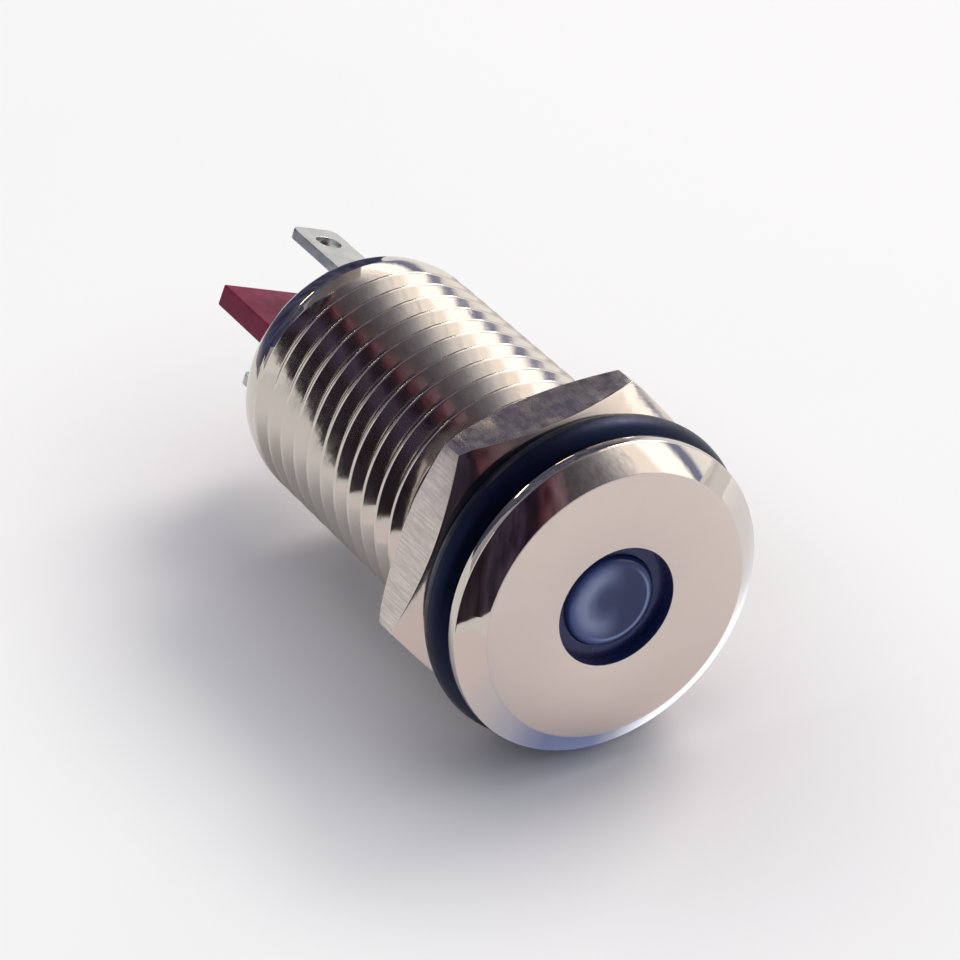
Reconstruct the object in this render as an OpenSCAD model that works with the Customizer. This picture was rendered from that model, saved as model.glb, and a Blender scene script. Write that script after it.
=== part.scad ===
// Panel pilot light: a turned metal bush with a flat bevelled head, screwed
// into a panel hole by a thin hex nut, with a small lens in the head and two
// solder lugs at the rear, one on each side of a red insulating barrier.
// The bush's axis runs along Y. The head faces -Y and the lugs point to +Y.
// The origin is on the axis, in the plane of the head's seat on the panel.

/* [Head] */
// Diameter of the head
head_d = 12; // [11.6:0.1:14]
// Thickness of the head, from its seat to its flat face
head_t = 1.1; // [1:0.05:1.6]
// Width of the plain rim between the seat and the bevel
rim_t = 0.45; // [0.3:0.05:0.7]
// Diameter of the flat face inside the bevel
face_d = 10.2; // [9.4:0.1:11]

/* [Light opening] */
// Diameter of the shallow recess round the lens
recess_d = 4.5; // [4:0.1:5.4]
// Depth of the recess below the flat face
recess_depth = 0.5; // [0.2:0.05:0.6]
// Diameter of the window bored through the front wall
window_d = 3.5; // [3:0.1:3.8]
// Distance from the seat to the inner side of the front wall
front_wall = 1.2; // [1:0.1:1.6]

/* [Barrel] */
// Outside diameter of the screw thread
thread_d = 9.94; // [9.8:0.01:10]
// Pitch of the screw thread
thread_pitch = 1; // [0.75:0.05:1.25]
// Length of the barrel behind the seat
barrel_l = 17.5; // [16.5:0.1:22]
// Diameter of the bore that holds the inner pieces
bore_d = 7.6; // [7.5:0.05:7.8]
// Depth of the plain neck behind the head, measured from the thread's crest
neck_depth = 0.27; // [0.2:0.01:0.35]
// Width of the neck behind the head
neck_l = 1.75; // [1.6:0.05:1.9]
// Length over which the barrel's rear end rounds off
end_round_l = 1; // [0.6:0.1:1.2]
// Drop in radius over the rounded rear end
end_round_r = 0.5; // [0.3:0.05:0.6]

/* [Sealing ring] */
// Thickness of the round rubber section
ring_section = 1.5; // [1.2:0.1:1.6]
// Space between the rubber and the neck that it sits on
ring_clear = 0.04; // [0.02:0.01:0.1]
// Distance from the head's seat to the rubber as stored
ring_set = 0.21; // [0.02:0.01:0.5]

/* [Mounting nut] */
// Metal left between the thread's crest and each flat of the nut
nut_wall = 1.03; // [0.9:0.01:2]
// Thickness of the nut
nut_t = 2.2; // [1.8:0.1:3]
// Gap between the sealing ring and the nut as stored
nut_gap = 0.03; // [0.02:0.01:4]
// Turn of the nut from one corner straight up, clockwise from the front, in degrees
nut_turn = 23.1; // [-30:0.1:30]
// Radial play between the nut and the thread's crest
nut_clear = 0.05; // [0.02:0.01:0.1]
// Distance from the flats to the flat ring that the bevel leaves on each face
nut_face_in = 0.2; // [0.1:0.05:0.4]
// Angle of the corner bevel from the nut's face, in degrees
nut_bevel = 30; // [20:1:40]

/* [Lens and gasket] */
// Depth of the lens's rim below the floor of the recess
lens_sink = 0.05; // [0.02:0.01:0.3]
// Height of the lens's dome above its rim
lens_dome = 0.3; // [0.2:0.05:0.5]
// Diameter of the lens's flange behind the front wall
lens_flange_d = 5.2; // [4.8:0.1:5.6]
// Thickness of the lens's flange
lens_flange_t = 0.7; // [0.5:0.1:1]
// Thickness of the gasket between the front wall and the lens's flange
gasket_t = 0.3; // [0.2:0.05:0.5]

/* [Lamp] */
// Diameter of the light-emitting diode's body
led_d = 3; // [2.8:0.1:3.2]
// Length of the diode's body, from its flange to the tip of its dome
led_l = 5.3; // [5:0.1:6]
// Diameter of the diode's flange
led_flange_d = 3.8; // [3.6:0.1:4.2]
// Thickness of the diode's flange
led_flange_t = 1; // [0.8:0.1:1.2]
// Space between the lens and the tip of the diode
led_gap = 0.2; // [0.1:0.05:0.5]
// Distance between the diode's two leads
lead_pitch = 2.54; // [2.5:0.01:2.6]
// Side of the square leads
lead_w = 0.5; // [0.4:0.05:0.55]

/* [Circuit board] */
// Distance from the board to the plug behind it
board_gap = 1.2; // [1:0.1:2]
// Thickness of the board
board_t = 0.8; // [0.6:0.1:1]
// Thickness of the insulating sleeve's wall
sleeve_wall = 0.25; // [0.2:0.05:0.3]
// Height of the chip resistor
resistor_h = 0.55; // [0.4:0.05:0.7]
// Height of the blocking diode
diode_h = 0.95; // [0.8:0.05:1.1]

/* [Terminals] */
// Turn of lugs and barrier from upright, clockwise from the front, in degrees
terminal_turn = 21.7; // [-180:0.1:180]
// Width of a solder lug's blade
lug_w = 2; // [1.6:0.1:2.2]
// Thickness of the lugs' sheet metal
lug_t = 0.4; // [0.3:0.05:0.5]
// Distance between the middles of the two lugs
lug_pitch = 6.1; // [5.8:0.05:6.15]
// Length of the lugs behind the barrel's end
lug_out = 5.5; // [4:0.1:8]
// Diameter of the wire hole in each lug
lug_hole_d = 1; // [0.8:0.05:1.2]
// Distance from a lug's tip to the middle of its wire hole
lug_hole_in = 1.25; // [1.1:0.05:2]
// Radius of the corners at a lug's tip
lug_corner = 0.4; // [0.2:0.05:0.6]
// Width of the narrow tail that runs to the board
tail_w = 1; // [0.8:0.1:1.2]

/* [Terminal base] */
// Length of the red plug inside the barrel
base_l = 4.4; // [3.5:0.1:4.8]
// Width of the barrier between the lugs
barrier_w = 5.5; // [4.5:0.1:6]
// Thickness of the barrier
barrier_t = 0.85; // [0.6:0.05:1.1]
// Length of the barrier behind the barrel's end
barrier_out = 5.9; // [4.5:0.1:8]
// Thickness of the sealing resin behind the plug
resin_t = 0.5; // [0.3:0.1:0.8]
// Depth of the resin's surface inside the barrel's rear end
resin_sink = 0.3; // [0.2:0.05:0.5]

/* [Hidden] */
$fn = 96;

// Radii
head_r = head_d / 2;
face_r = face_d / 2;
recess_r = recess_d / 2;
window_r = window_d / 2;
thread_r = thread_d / 2;
bore_r = bore_d / 2;
neck_r = thread_r - neck_depth;

// Play of the plastic and rubber pieces in the metal, and of leads in their holes
push_clear = 0.03;
lead_clear = 0.1;
slot_clear = 0.03;

// Thread section: crest and root flats of a metric thread and 60 degree flanks
crest_flat = thread_pitch / 8;
root_flat = thread_pitch / 4;
flank_l = (thread_pitch - crest_flat - root_flat) / 2;
thread_depth = flank_l / tan(30);
thread_from = neck_l + 0.25;
thread_to = barrel_l - end_round_l - crest_flat;
grooves = floor((thread_to - thread_from) / thread_pitch);

// Places along the axis, from the head to the rear
recess_floor = recess_depth - head_t;
lens_rim = recess_floor + lens_sink;
flange_front = front_wall + gasket_t;
flange_back = flange_front + lens_flange_t;
led_tip = flange_back + led_gap;
led_back = led_tip + led_l;
resin_back = barrel_l - resin_sink;
base_back = resin_back - resin_t;
base_front = base_back - base_l;
board_back = base_front - board_gap;
board_front = board_back - board_t;
lug_tip = barrel_l + lug_out;
lug_step = base_front + base_l / 2;
barrier_tip = barrel_l + barrier_out;
nut_front = ring_set + ring_section + nut_gap;

// Nut across its flats, and across the flat ring on its faces
nut_af = thread_d + 2 * nut_wall;
nut_face_d = nut_af - 2 * nut_face_in;

// Diode: its inner posts, reflector cup and chip
led_r = led_d / 2;
post_x = 0.75;
post_w = 0.4;
cup_r = 0.48;
cup_h = 0.7;
cup_mouth_r = 0.38;
cup_floor_r = 0.22;
cup_depth = 0.25;
cup_front = led_tip + led_l * 0.36;
chip_w = 0.28;
chip_h = 0.12;
jog_h = lead_w;
jog_back = led_back - led_flange_t / 4;

// Board and what is soldered to it
sleeve_r = bore_r - push_clear;
sleeve_inner_r = sleeve_r - sleeve_wall;
board_r = sleeve_inner_r - push_clear;
lead_stub = 0.8;
tail_stub = 0.6;
chip_z = 1.7;
resistor_l = 2;
resistor_w = 1.2;
diode_l = 1.8;
diode_w = 1.2;
fillet = 0.25;
lug_fillet = 0.45;
solder_foot_r = 0.62;
solder_top_r = 0.4;
solder_h = 0.6;

// Turns what is built upwards along Z so that it runs to the rear along Y
module along_axis() {
    rotate([-90, 0, 0])
        children();
}

// Turns the lugs, and what stands in line with them, about the axis
module turned() {
    rotate([0, terminal_turn, 0])
        children();
}

// Round bar along the axis, between two places on it
module rod(r, from, to) {
    translate([0, from, 0])
        along_axis()
            cylinder(h = to - from, r = r);
}

// Box between two places on the axis, centred on x and z
module bar(x, z, width, height, from, to) {
    translate([x - width / 2, from, z - height / 2])
        cube([width, to - from, height]);
}

// One groove of the thread, as points of the barrel's outline
function groove(mid) = [
    [thread_r, mid - root_flat / 2 - flank_l],
    [thread_r - thread_depth, mid - root_flat / 2],
    [thread_r - thread_depth, mid + root_flat / 2],
    [thread_r, mid + root_flat / 2 + flank_l]
];

// The thread is drawn as parallel ridges of the true section and pitch
thread_points = [
    for (i = [0 : grooves - 1])
        each groove(thread_from + crest_flat + (i + 0.5) * thread_pitch - crest_flat / 2)
];

// Quarter ellipse that rounds the barrel's rear end
end_points = [
    for (a = [0 : 15 : 90])
        [
            thread_r - end_round_r * (1 - cos(a)),
            barrel_l - end_round_l * (1 - sin(a))
        ]
];

// Bush turned from one bar: head, neck, thread, bore, window and recess
module housing() {
    outline = concat(
        [
            [recess_r, -head_t],
            [face_r, -head_t],
            [head_r, -rim_t],
            [head_r, 0],
            [neck_r, 0],
            [neck_r, neck_l],
            [thread_r, thread_from]
        ],
        thread_points,
        end_points,
        [
            [bore_r, barrel_l],
            [bore_r, front_wall],
            [window_r, front_wall],
            [window_r, recess_floor],
            [recess_r, recess_floor]
        ]
    );
    color([0.78, 0.74, 0.71])
        along_axis()
            rotate_extrude()
                polygon(outline);
}

// Rubber ring on the neck, which the panel presses against the head
module sealing_ring() {
    ring_mid = neck_r + ring_clear + ring_section / 2;
    color([0.05, 0.06, 0.12])
        translate([0, ring_set + ring_section / 2, 0])
            along_axis()
                rotate_extrude()
                    translate([ring_mid, 0])
                        circle(d = ring_section, $fn = 48);
}

// Hex prism, bevelled at both faces, that runs on the barrel's thread
module mounting_nut() {
    corner_r = nut_af / 2 / cos(30);
    bevel_l = (corner_r - nut_face_d / 2) * tan(nut_bevel);
    bore = thread_r + nut_clear;
    lead_in = 0.3;
    color([0.76, 0.72, 0.7])
        translate([0, nut_front, 0])
            along_axis()
                difference() {
                    intersection() {
                        rotate([0, 0, 90 + nut_turn])
                            cylinder(h = nut_t, r = corner_r, $fn = 6);
                        rotate_extrude()
                            polygon([
                                [0, 0],
                                [nut_face_d / 2, 0],
                                [corner_r, bevel_l],
                                [corner_r, nut_t - bevel_l],
                                [nut_face_d / 2, nut_t],
                                [0, nut_t]
                            ]);
                    }
                    rotate_extrude()
                        polygon([
                            [0, -1],
                            [bore + lead_in + 1, -1],
                            [bore, lead_in],
                            [bore, nut_t - lead_in],
                            [bore + lead_in + 1, nut_t + 1],
                            [0, nut_t + 1]
                        ]);
                }
}

// Clear moulded lens: domed stem in the window, flange behind the front wall
module lens() {
    stem_r = window_r - push_clear;
    dome_r = (stem_r * stem_r + lens_dome * lens_dome) / (2 * lens_dome);
    dome_edge = asin(stem_r / dome_r);
    dome_steps = 12;
    dome_points = [
        for (i = [0 : dome_steps])
            [
                dome_r * sin(dome_edge * i / dome_steps),
                lens_rim - lens_dome + dome_r * (1 - cos(dome_edge * i / dome_steps))
            ]
    ];
    outline = concat(
        dome_points,
        [
            [stem_r, flange_front],
            [lens_flange_d / 2, flange_front],
            [lens_flange_d / 2, flange_back],
            [0, flange_back]
        ]
    );
    color([0.62, 0.7, 0.82, 0.6])
        along_axis()
            rotate_extrude()
                polygon(outline);
}

// Flat rubber washer that seals the lens's flange to the front wall
module lens_gasket() {
    color([0.1, 0.1, 0.12])
        difference() {
            rod(lens_flange_d / 2, front_wall, flange_front);
            rod(window_r, front_wall - 1, flange_front + 1);
        }
}

// Black tube that centres the diode behind the lens
module led_holder() {
    color([0.12, 0.12, 0.13])
        difference() {
            rod(bore_r - push_clear, front_wall, led_back);
            rod(lens_flange_d / 2 + push_clear, front_wall - 1, flange_back);
            rod(led_r + push_clear, flange_back - 1, led_back + 1);
            rod(led_flange_d / 2 + push_clear, led_back - led_flange_t, led_back + 1);
        }
}

// Metal that stands inside and behind the diode, on one side of its axis
module lead(side) {
    bar(side * post_x, 0, post_w, post_w, cup_front, jog_back - jog_h / 2);
    translate([min(side * post_x - post_w / 2, side * lead_pitch / 2 - lead_w / 2), jog_back - jog_h, -lead_w / 2])
        cube([abs(lead_pitch / 2 - post_x) + (post_w + lead_w) / 2, jog_h, lead_w]);
    bar(side * lead_pitch / 2, 0, lead_w, lead_w, jog_back - jog_h, board_back + lead_stub);
}

// Shorter post that takes the current in
module anode_lead() {
    color([0.8, 0.8, 0.8])
        turned()
            union()
                lead(-1);
}

// Post with the reflector cup that carries the chip
module cathode_lead() {
    color([0.78, 0.78, 0.78])
        turned()
            difference() {
                union() {
                    lead(1);
                    rod(cup_r, cup_front, cup_front + cup_h);
                    bar(post_x / 2, 0, post_x, post_w, cup_front + cup_depth + 0.1, cup_front + cup_h);
                }
                translate([0, cup_front, 0])
                    along_axis()
                        cylinder(h = cup_depth, r1 = cup_mouth_r, r2 = cup_floor_r);
            }
}

// Light-emitting chip on the floor of the reflector cup
module led_chip() {
    color([0.9, 0.8, 0.3])
        turned()
            bar(0, 0, chip_w, chip_w, cup_front + cup_depth - chip_h, cup_front + cup_depth);
}

// Clear epoxy cast round the leads and the chip
module led_body() {
    color([0.75, 0.82, 0.9, 0.5])
        difference() {
            union() {
                translate([0, led_tip + led_r, 0])
                    along_axis()
                        sphere(r = led_r);
                rod(led_r, led_tip + led_r, led_back);
                rod(led_flange_d / 2, led_back - led_flange_t, led_back);
            }
            anode_lead();
            cathode_lead();
            led_chip();
        }
}

// Thin plastic tube that keeps the board away from the metal barrel
module insulating_sleeve() {
    color([0.85, 0.82, 0.7])
        difference() {
            rod(sleeve_r, led_back, base_front);
            rod(sleeve_inner_r, led_back - 1, base_front + 1);
        }
}

// Round board with two lead holes and a notch in its edge for each lug's tail
module circuit_board() {
    notch_in = lug_pitch / 2 - lug_t / 2 - slot_clear;
    notch_w = tail_w + 2 * slot_clear;
    color([0.1, 0.4, 0.2])
        turned()
            difference() {
                rod(board_r, board_front, board_back);
                for (side = [-1, 1]) {
                    translate([side * lead_pitch / 2, 0, 0])
                        rod(lead_w / sqrt(2) + lead_clear, board_front - 1, board_back + 1);
                    bar(0, side * (notch_in + 1), notch_w, 2, board_front - 1, board_back + 1);
                }
            }
}

// Chip resistor that sets the lamp's current
module series_resistor() {
    color([0.15, 0.15, 0.16])
        turned()
            bar(0, chip_z, resistor_l, resistor_w, board_front - resistor_h, board_front);
}

// Diode that blocks current if the lamp is wired the wrong way round
module blocking_diode() {
    color([0.2, 0.2, 0.2])
        turned()
            bar(0, -chip_z, diode_l, diode_w, board_front - diode_h, board_front);
}

// Wedge of solder on the board's front, leaning on what stands at its corner
module solder_wedge(side, size, width) {
    linear_extrude(width, center = true)
        polygon([[0, 0], [side * size, 0], [0, -size]]);
}

// Solder at both ends of each chip
module chip_solder() {
    color([0.75, 0.76, 0.78])
        turned()
            for (side = [-1, 1]) {
                translate([side * resistor_l / 2, board_front, chip_z])
                    solder_wedge(side, fillet, resistor_w);
                translate([side * diode_l / 2, board_front, -chip_z])
                    solder_wedge(side, fillet, diode_w);
            }
}

// Solder cones round the diode's leads, behind the board
module lead_solder() {
    color([0.75, 0.76, 0.78])
        turned()
            for (side = [-1, 1])
                difference() {
                    translate([side * lead_pitch / 2, board_back, 0])
                        along_axis()
                            cylinder(h = solder_h, r1 = solder_foot_r, r2 = solder_top_r);
                    bar(side * lead_pitch / 2, 0, lead_w, lead_w, board_back - 1, board_back + solder_h + 1);
                }
}

// Solder between the board's front and the inner sides of the lugs' tails
module lug_solder() {
    color([0.75, 0.76, 0.78])
        turned()
            for (side = [-1, 1])
                translate([0, board_front, side * (lug_pitch - lug_t) / 2])
                    rotate([0, 90, 0])
                        solder_wedge(side, lug_fillet, tail_w);
}

// Flat lug on the upper side: blade with a wire hole, shoulder and narrow tail
module lug() {
    blade_l = lug_tip - lug_step;
    translate([0, lug_step, lug_pitch / 2 - lug_t / 2])
        linear_extrude(lug_t)
            difference() {
                union() {
                    translate([-lug_w / 2, 0])
                        square([lug_w, blade_l - lug_corner]);
                    translate([-lug_w / 2 + lug_corner, 0])
                        square([lug_w - 2 * lug_corner, blade_l]);
                    for (side = [-1, 1])
                        translate([side * (lug_w / 2 - lug_corner), blade_l - lug_corner])
                            circle(r = lug_corner, $fn = 32);
                    translate([-tail_w / 2, board_front - tail_stub - lug_step])
                        square([tail_w, lug_step - board_front + tail_stub + 0.5]);
                }
                translate([0, blade_l - lug_hole_in])
                    circle(d = lug_hole_d);
            }
}

// Upper lug, tin-plated brass
module positive_lug() {
    color([0.8, 0.82, 0.82])
        turned()
            lug();
}

// Lower lug, tin-plated brass
module negative_lug() {
    color([0.8, 0.82, 0.82])
        turned()
            mirror([0, 0, 1])
                lug();
}

// Red plug that closes the barrel and holds the lugs, with its barrier
module terminal_base() {
    color([0.5, 0.1, 0.2])
        turned()
            difference() {
                union() {
                    rod(bore_r - push_clear, base_front, base_back);
                    bar(0, 0, barrier_w, barrier_t, base_back - 1, barrier_tip);
                }
                for (side = [-1, 1]) {
                    bar(
                        0, side * lug_pitch / 2,
                        tail_w + 2 * slot_clear, lug_t + 2 * slot_clear,
                        base_front - 1, lug_step
                    );
                    bar(
                        0, side * lug_pitch / 2,
                        lug_w + 2 * slot_clear, lug_t + 2 * slot_clear,
                        lug_step, base_back + 1
                    );
                }
            }
}

// Cast epoxy that seals the barrel behind the plug
module sealing_resin() {
    color([0.2, 0.18, 0.16])
        turned()
            difference() {
                rod(bore_r, base_back, resin_back);
                bar(0, 0, barrier_w, barrier_t, base_back - 1, resin_back + 1);
                for (side = [-1, 1])
                    bar(0, side * lug_pitch / 2, lug_w, lug_t, base_back - 1, resin_back + 1);
            }
}

housing();
sealing_ring();
mounting_nut();
lens();
lens_gasket();
led_holder();
led_body();
led_chip();
anode_lead();
cathode_lead();
insulating_sleeve();
circuit_board();
series_resistor();
blocking_diode();
chip_solder();
lead_solder();
lug_solder();
positive_lug();
negative_lug();
terminal_base();
sealing_resin();
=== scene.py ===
import math

import bmesh
import bpy
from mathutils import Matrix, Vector
from mathutils.geometry import interpolate_bezier


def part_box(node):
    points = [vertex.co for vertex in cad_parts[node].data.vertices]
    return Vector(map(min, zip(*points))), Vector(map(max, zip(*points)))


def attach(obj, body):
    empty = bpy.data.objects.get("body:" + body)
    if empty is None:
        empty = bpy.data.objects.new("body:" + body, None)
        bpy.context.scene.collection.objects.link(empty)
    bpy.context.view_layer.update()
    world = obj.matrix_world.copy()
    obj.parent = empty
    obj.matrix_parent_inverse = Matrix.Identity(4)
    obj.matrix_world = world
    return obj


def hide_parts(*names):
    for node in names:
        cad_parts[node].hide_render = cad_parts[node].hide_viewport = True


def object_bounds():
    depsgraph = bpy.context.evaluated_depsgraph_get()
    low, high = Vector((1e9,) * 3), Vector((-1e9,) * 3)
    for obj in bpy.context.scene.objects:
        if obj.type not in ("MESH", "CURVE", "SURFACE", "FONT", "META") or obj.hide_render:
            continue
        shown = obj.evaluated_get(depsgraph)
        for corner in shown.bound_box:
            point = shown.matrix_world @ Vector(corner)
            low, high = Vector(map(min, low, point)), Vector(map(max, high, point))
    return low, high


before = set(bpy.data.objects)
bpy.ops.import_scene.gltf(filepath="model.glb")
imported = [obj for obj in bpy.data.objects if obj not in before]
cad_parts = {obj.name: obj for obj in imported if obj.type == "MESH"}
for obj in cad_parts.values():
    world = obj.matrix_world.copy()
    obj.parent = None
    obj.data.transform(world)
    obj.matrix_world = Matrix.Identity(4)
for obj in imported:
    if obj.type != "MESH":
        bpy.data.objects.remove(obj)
cad_low, cad_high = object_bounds()

# ---------------------------------------------------------------------------
# Bush: the one metal body of the light, turned from brass bar and plated with
# nickel. Its flat face is lapped to satin, the bevel round it is polished, and
# the M10 x 1 thread on the barrel is a true right-hand helix.
# Pieces are drawn in millimetres and brought to metres when they are finished.
MM = 0.001
THREAD_R = 4.97
PITCH = 1.0
NECK_R = 4.7
BORE_R = 3.8
WINDOW_R = 1.75
RECESS_R = 2.25
FACE_R = 5.1
HEAD_R = 6.0
FACE_Y = -1.1
RECESS_Y = -0.6
RIM_Y = -0.45
NECK_Y = 1.75
WALL_Y = 1.2
THREAD_DEPTH = 0.541
THREAD_FRONT = 2.05
THREAD_REAR = 16.05
# Smooth stretches that lead out of the thread at its front and rear, and their radius
LEAD_OUT = 0.05
RUN_OUT = 0.3
SMOOTH_R = THREAD_R - 0.02
BARREL_Y = 17.5
# Where the barrel's sloping end stops, and the two handles of its curve
END_R = 4.45
END_HANDLES = (4.88, 16.8), (4.79, 17.35)
BUSH_SIDES = 144
# Widths by which the edges are rounded: bevel, seat, recess and window, rear mouth
BEVEL_EDGE = 0.05
SEAT_EDGE = 0.06
HOLE_EDGE = 0.03
MOUTH_EDGE = 0.12


def nothing_selected():
    if bpy.context.mode != "OBJECT":
        bpy.ops.object.mode_set(mode="OBJECT")
    bpy.ops.object.select_all(action="DESELECT")


def pick(piece):
    """Leaves one piece selected and active."""
    nothing_selected()
    piece.select_set(True)
    bpy.context.view_layer.objects.active = piece


def apply_modifier(piece, kind, **settings):
    """Adds a modifier to a piece, sets it and applies it at once."""
    pick(piece)
    made = piece.modifiers.new(kind.lower(), kind)
    for name, value in settings.items():
        setattr(made, name, value)
    bpy.ops.object.modifier_apply(modifier=made.name)


def open_edges(place, mesh):
    """Selects the open edges that lie in one plane across the axis."""
    bpy.ops.mesh.select_mode(type="EDGE")
    bpy.ops.mesh.select_all(action="DESELECT")
    shape = bmesh.from_edit_mesh(mesh)
    for edge in shape.edges:
        if edge.is_boundary and all(abs(v.co.y - place) < 1e-3 for v in edge.verts):
            edge.select = True
    bmesh.update_edit_mesh(mesh)


def carry_on(radius, place, rings):
    """Extrudes the selected ring through further rings, each a radius and a place."""
    for next_radius, next_place in rings:
        bpy.ops.mesh.extrude_edges_move(
            TRANSFORM_OT_translate={"value": (0, next_place - place, 0)}
        )
        share = next_radius / radius
        bpy.ops.transform.resize(
            value=(share, 1, share), center_override=(0, next_place, 0)
        )
        radius, place = next_radius, next_place


def curved(start, start_handle, end_handle, end, steps):
    """Points on a curve between two ends, led by a handle at each; not its start."""
    return [
        tuple(spot)
        for spot in interpolate_bezier(start, start_handle, end_handle, end, steps + 1)
    ][1:]


def to_circle(radius, place, mesh):
    """Draws the selected loop out to a true circle."""
    bpy.ops.transform.tosphere(value=1, center_override=(0, place, 0))
    shape = bmesh.from_edit_mesh(mesh)
    reach = [math.hypot(v.co.x, v.co.z) for v in shape.verts if v.select]
    share = radius / (sum(reach) / len(reach))
    bpy.ops.transform.resize(value=(share, 1, share), center_override=(0, place, 0))


def join_open_ends(mesh):
    """Bridges the two open rings that are left on a mesh."""
    bpy.ops.mesh.select_all(action="DESELECT")
    shape = bmesh.from_edit_mesh(mesh)
    for edge in shape.edges:
        edge.select = edge.is_boundary
    bmesh.update_edit_mesh(mesh)
    bpy.ops.mesh.bridge_edge_loops()


def ring_edges(mesh, rings):
    """Selects whole edge rings, each given by its radius and place."""
    bpy.ops.mesh.select_mode(type="EDGE")
    bpy.ops.mesh.select_all(action="DESELECT")
    shape = bmesh.from_edit_mesh(mesh)
    for edge in shape.edges:
        for radius, place in rings:
            if all(
                abs(v.co.y - place) < 2e-3
                and abs(math.hypot(v.co.x, v.co.z) - radius) < 2e-3
                for v in edge.verts
            ):
                edge.select = True
    bmesh.update_edit_mesh(mesh)


def soften(mesh, width, steps, rings):
    """Rounds whole edge rings over by a small width."""
    ring_edges(mesh, rings)
    bpy.ops.mesh.bevel(
        offset=width, offset_type="OFFSET", segments=steps, affect="EDGES"
    )


def edit(piece):
    """Opens one piece in edit mode with nothing on it selected."""
    pick(piece)
    bpy.ops.object.mode_set(mode="EDIT")
    bpy.ops.mesh.select_all(action="DESELECT")


def shade(piece, sharp_from):
    """Smooth shading, kept crisp at corners sharper than an angle in degrees."""
    pick(piece)
    bpy.ops.object.shade_smooth_by_angle(angle=math.radians(sharp_from))
    apply_modifier(piece, "WEIGHTED_NORMAL", keep_sharp=True, weight=60)


def to_metres(piece, sharp_from=38):
    """Closes a piece off: doubles merged, faces outwards, metres, shading."""
    edit(piece)
    bpy.ops.mesh.select_all(action="SELECT")
    bpy.ops.mesh.remove_doubles(threshold=1e-4)
    bpy.ops.mesh.normals_make_consistent(inside=False)
    bpy.ops.object.mode_set(mode="OBJECT")
    piece.scale = (MM, MM, MM)
    bpy.ops.object.transform_apply(location=True, rotation=True, scale=True)
    shade(piece, sharp_from)


def threaded_tube(name, crest_r, depth, sides, start, finish, crest_place):
    """A tube with a right-hand thread, cut square at both ends."""
    root_r = crest_r - depth
    # Half of one ridge, from its eased crest down to the round root: each point's
    # radius and its share of the pitch
    half = [
        (crest_r, 0), (crest_r - 0.006, 0.03), (crest_r - 0.024, 0.057),
        (crest_r - 0.05, 0.08), (root_r + 0.1, 0.34), (root_r + 0.045, 0.385),
        (root_r + 0.012, 0.44), (root_r, 0.5),
    ]
    profile = [(radius, -share * PITCH) for radius, share in reversed(half)]
    profile += [(radius, share * PITCH) for radius, share in half[1:]]
    turns = math.ceil((finish - start) / PITCH) + 2
    base = crest_place % PITCH + math.floor(start) - 2 * PITCH
    nothing_selected()
    bpy.ops.mesh.primitive_plane_add(size=0.1, location=(0, 0, 0))
    tube = bpy.context.object
    tube.name = name
    bpy.ops.object.mode_set(mode="EDIT")
    bpy.ops.mesh.select_mode(type="VERT")
    bpy.ops.mesh.select_all(action="SELECT")
    bpy.ops.mesh.merge(type="COLLAPSE")
    radius, place = profile[0]
    bpy.ops.transform.translate(value=(radius, base + place, 0))
    for next_radius, next_place in profile[1:]:
        bpy.ops.mesh.extrude_vertices_move(
            TRANSFORM_OT_translate={"value": (next_radius - radius, next_place - place, 0)}
        )
        radius, place = next_radius, next_place
    bpy.ops.object.mode_set(mode="OBJECT")
    apply_modifier(
        tube, "SCREW", axis="Y", angle=math.tau, screw_offset=PITCH,
        iterations=turns + 1, steps=sides, render_steps=sides,
        use_merge_vertices=False, use_smooth_shade=True,
    )
    bpy.ops.object.mode_set(mode="EDIT")
    bpy.ops.mesh.select_all(action="SELECT")
    bpy.ops.mesh.remove_doubles(threshold=1e-3)
    for place, side in ((start, -1), (finish, 1)):
        bpy.ops.mesh.select_all(action="SELECT")
        bpy.ops.mesh.bisect(
            plane_co=(0, place, 0), plane_no=(0, side, 0),
            clear_outer=True, threshold=1e-5,
        )
    bpy.ops.object.mode_set(mode="OBJECT")
    return tube


# One crest stands this far behind the seat at this angle from +X towards +Z. The
# screw modifier starts from +X, so the crest there is that share of a turn on
CREST_Y = 7.07
CREST_ANGLE = 160
bush = threaded_tube(
    "bush", THREAD_R, THREAD_DEPTH, BUSH_SIDES, THREAD_FRONT, THREAD_REAR,
    CREST_Y + CREST_ANGLE / 360 * PITCH,
)
edit(bush)

# Rear end: the thread runs out into a polished end that slopes in more and more,
# then the bore, which meets the front part's in its middle
BORE_MEET_REAR = 9.5
BORE_MEET_FRONT = 8.5
end_y = THREAD_REAR + RUN_OUT
open_edges(THREAD_REAR, bush.data)
bpy.ops.mesh.extrude_edges_move(TRANSFORM_OT_translate={"value": (0, RUN_OUT, 0)})
to_circle(SMOOTH_R, end_y, bush.data)
end_rings = curved((SMOOTH_R, end_y), *END_HANDLES, (END_R, BARREL_Y), 8)
carry_on(SMOOTH_R, end_y, end_rings + [(BORE_R, BARREL_Y), (BORE_R, BORE_MEET_REAR)])

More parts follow.
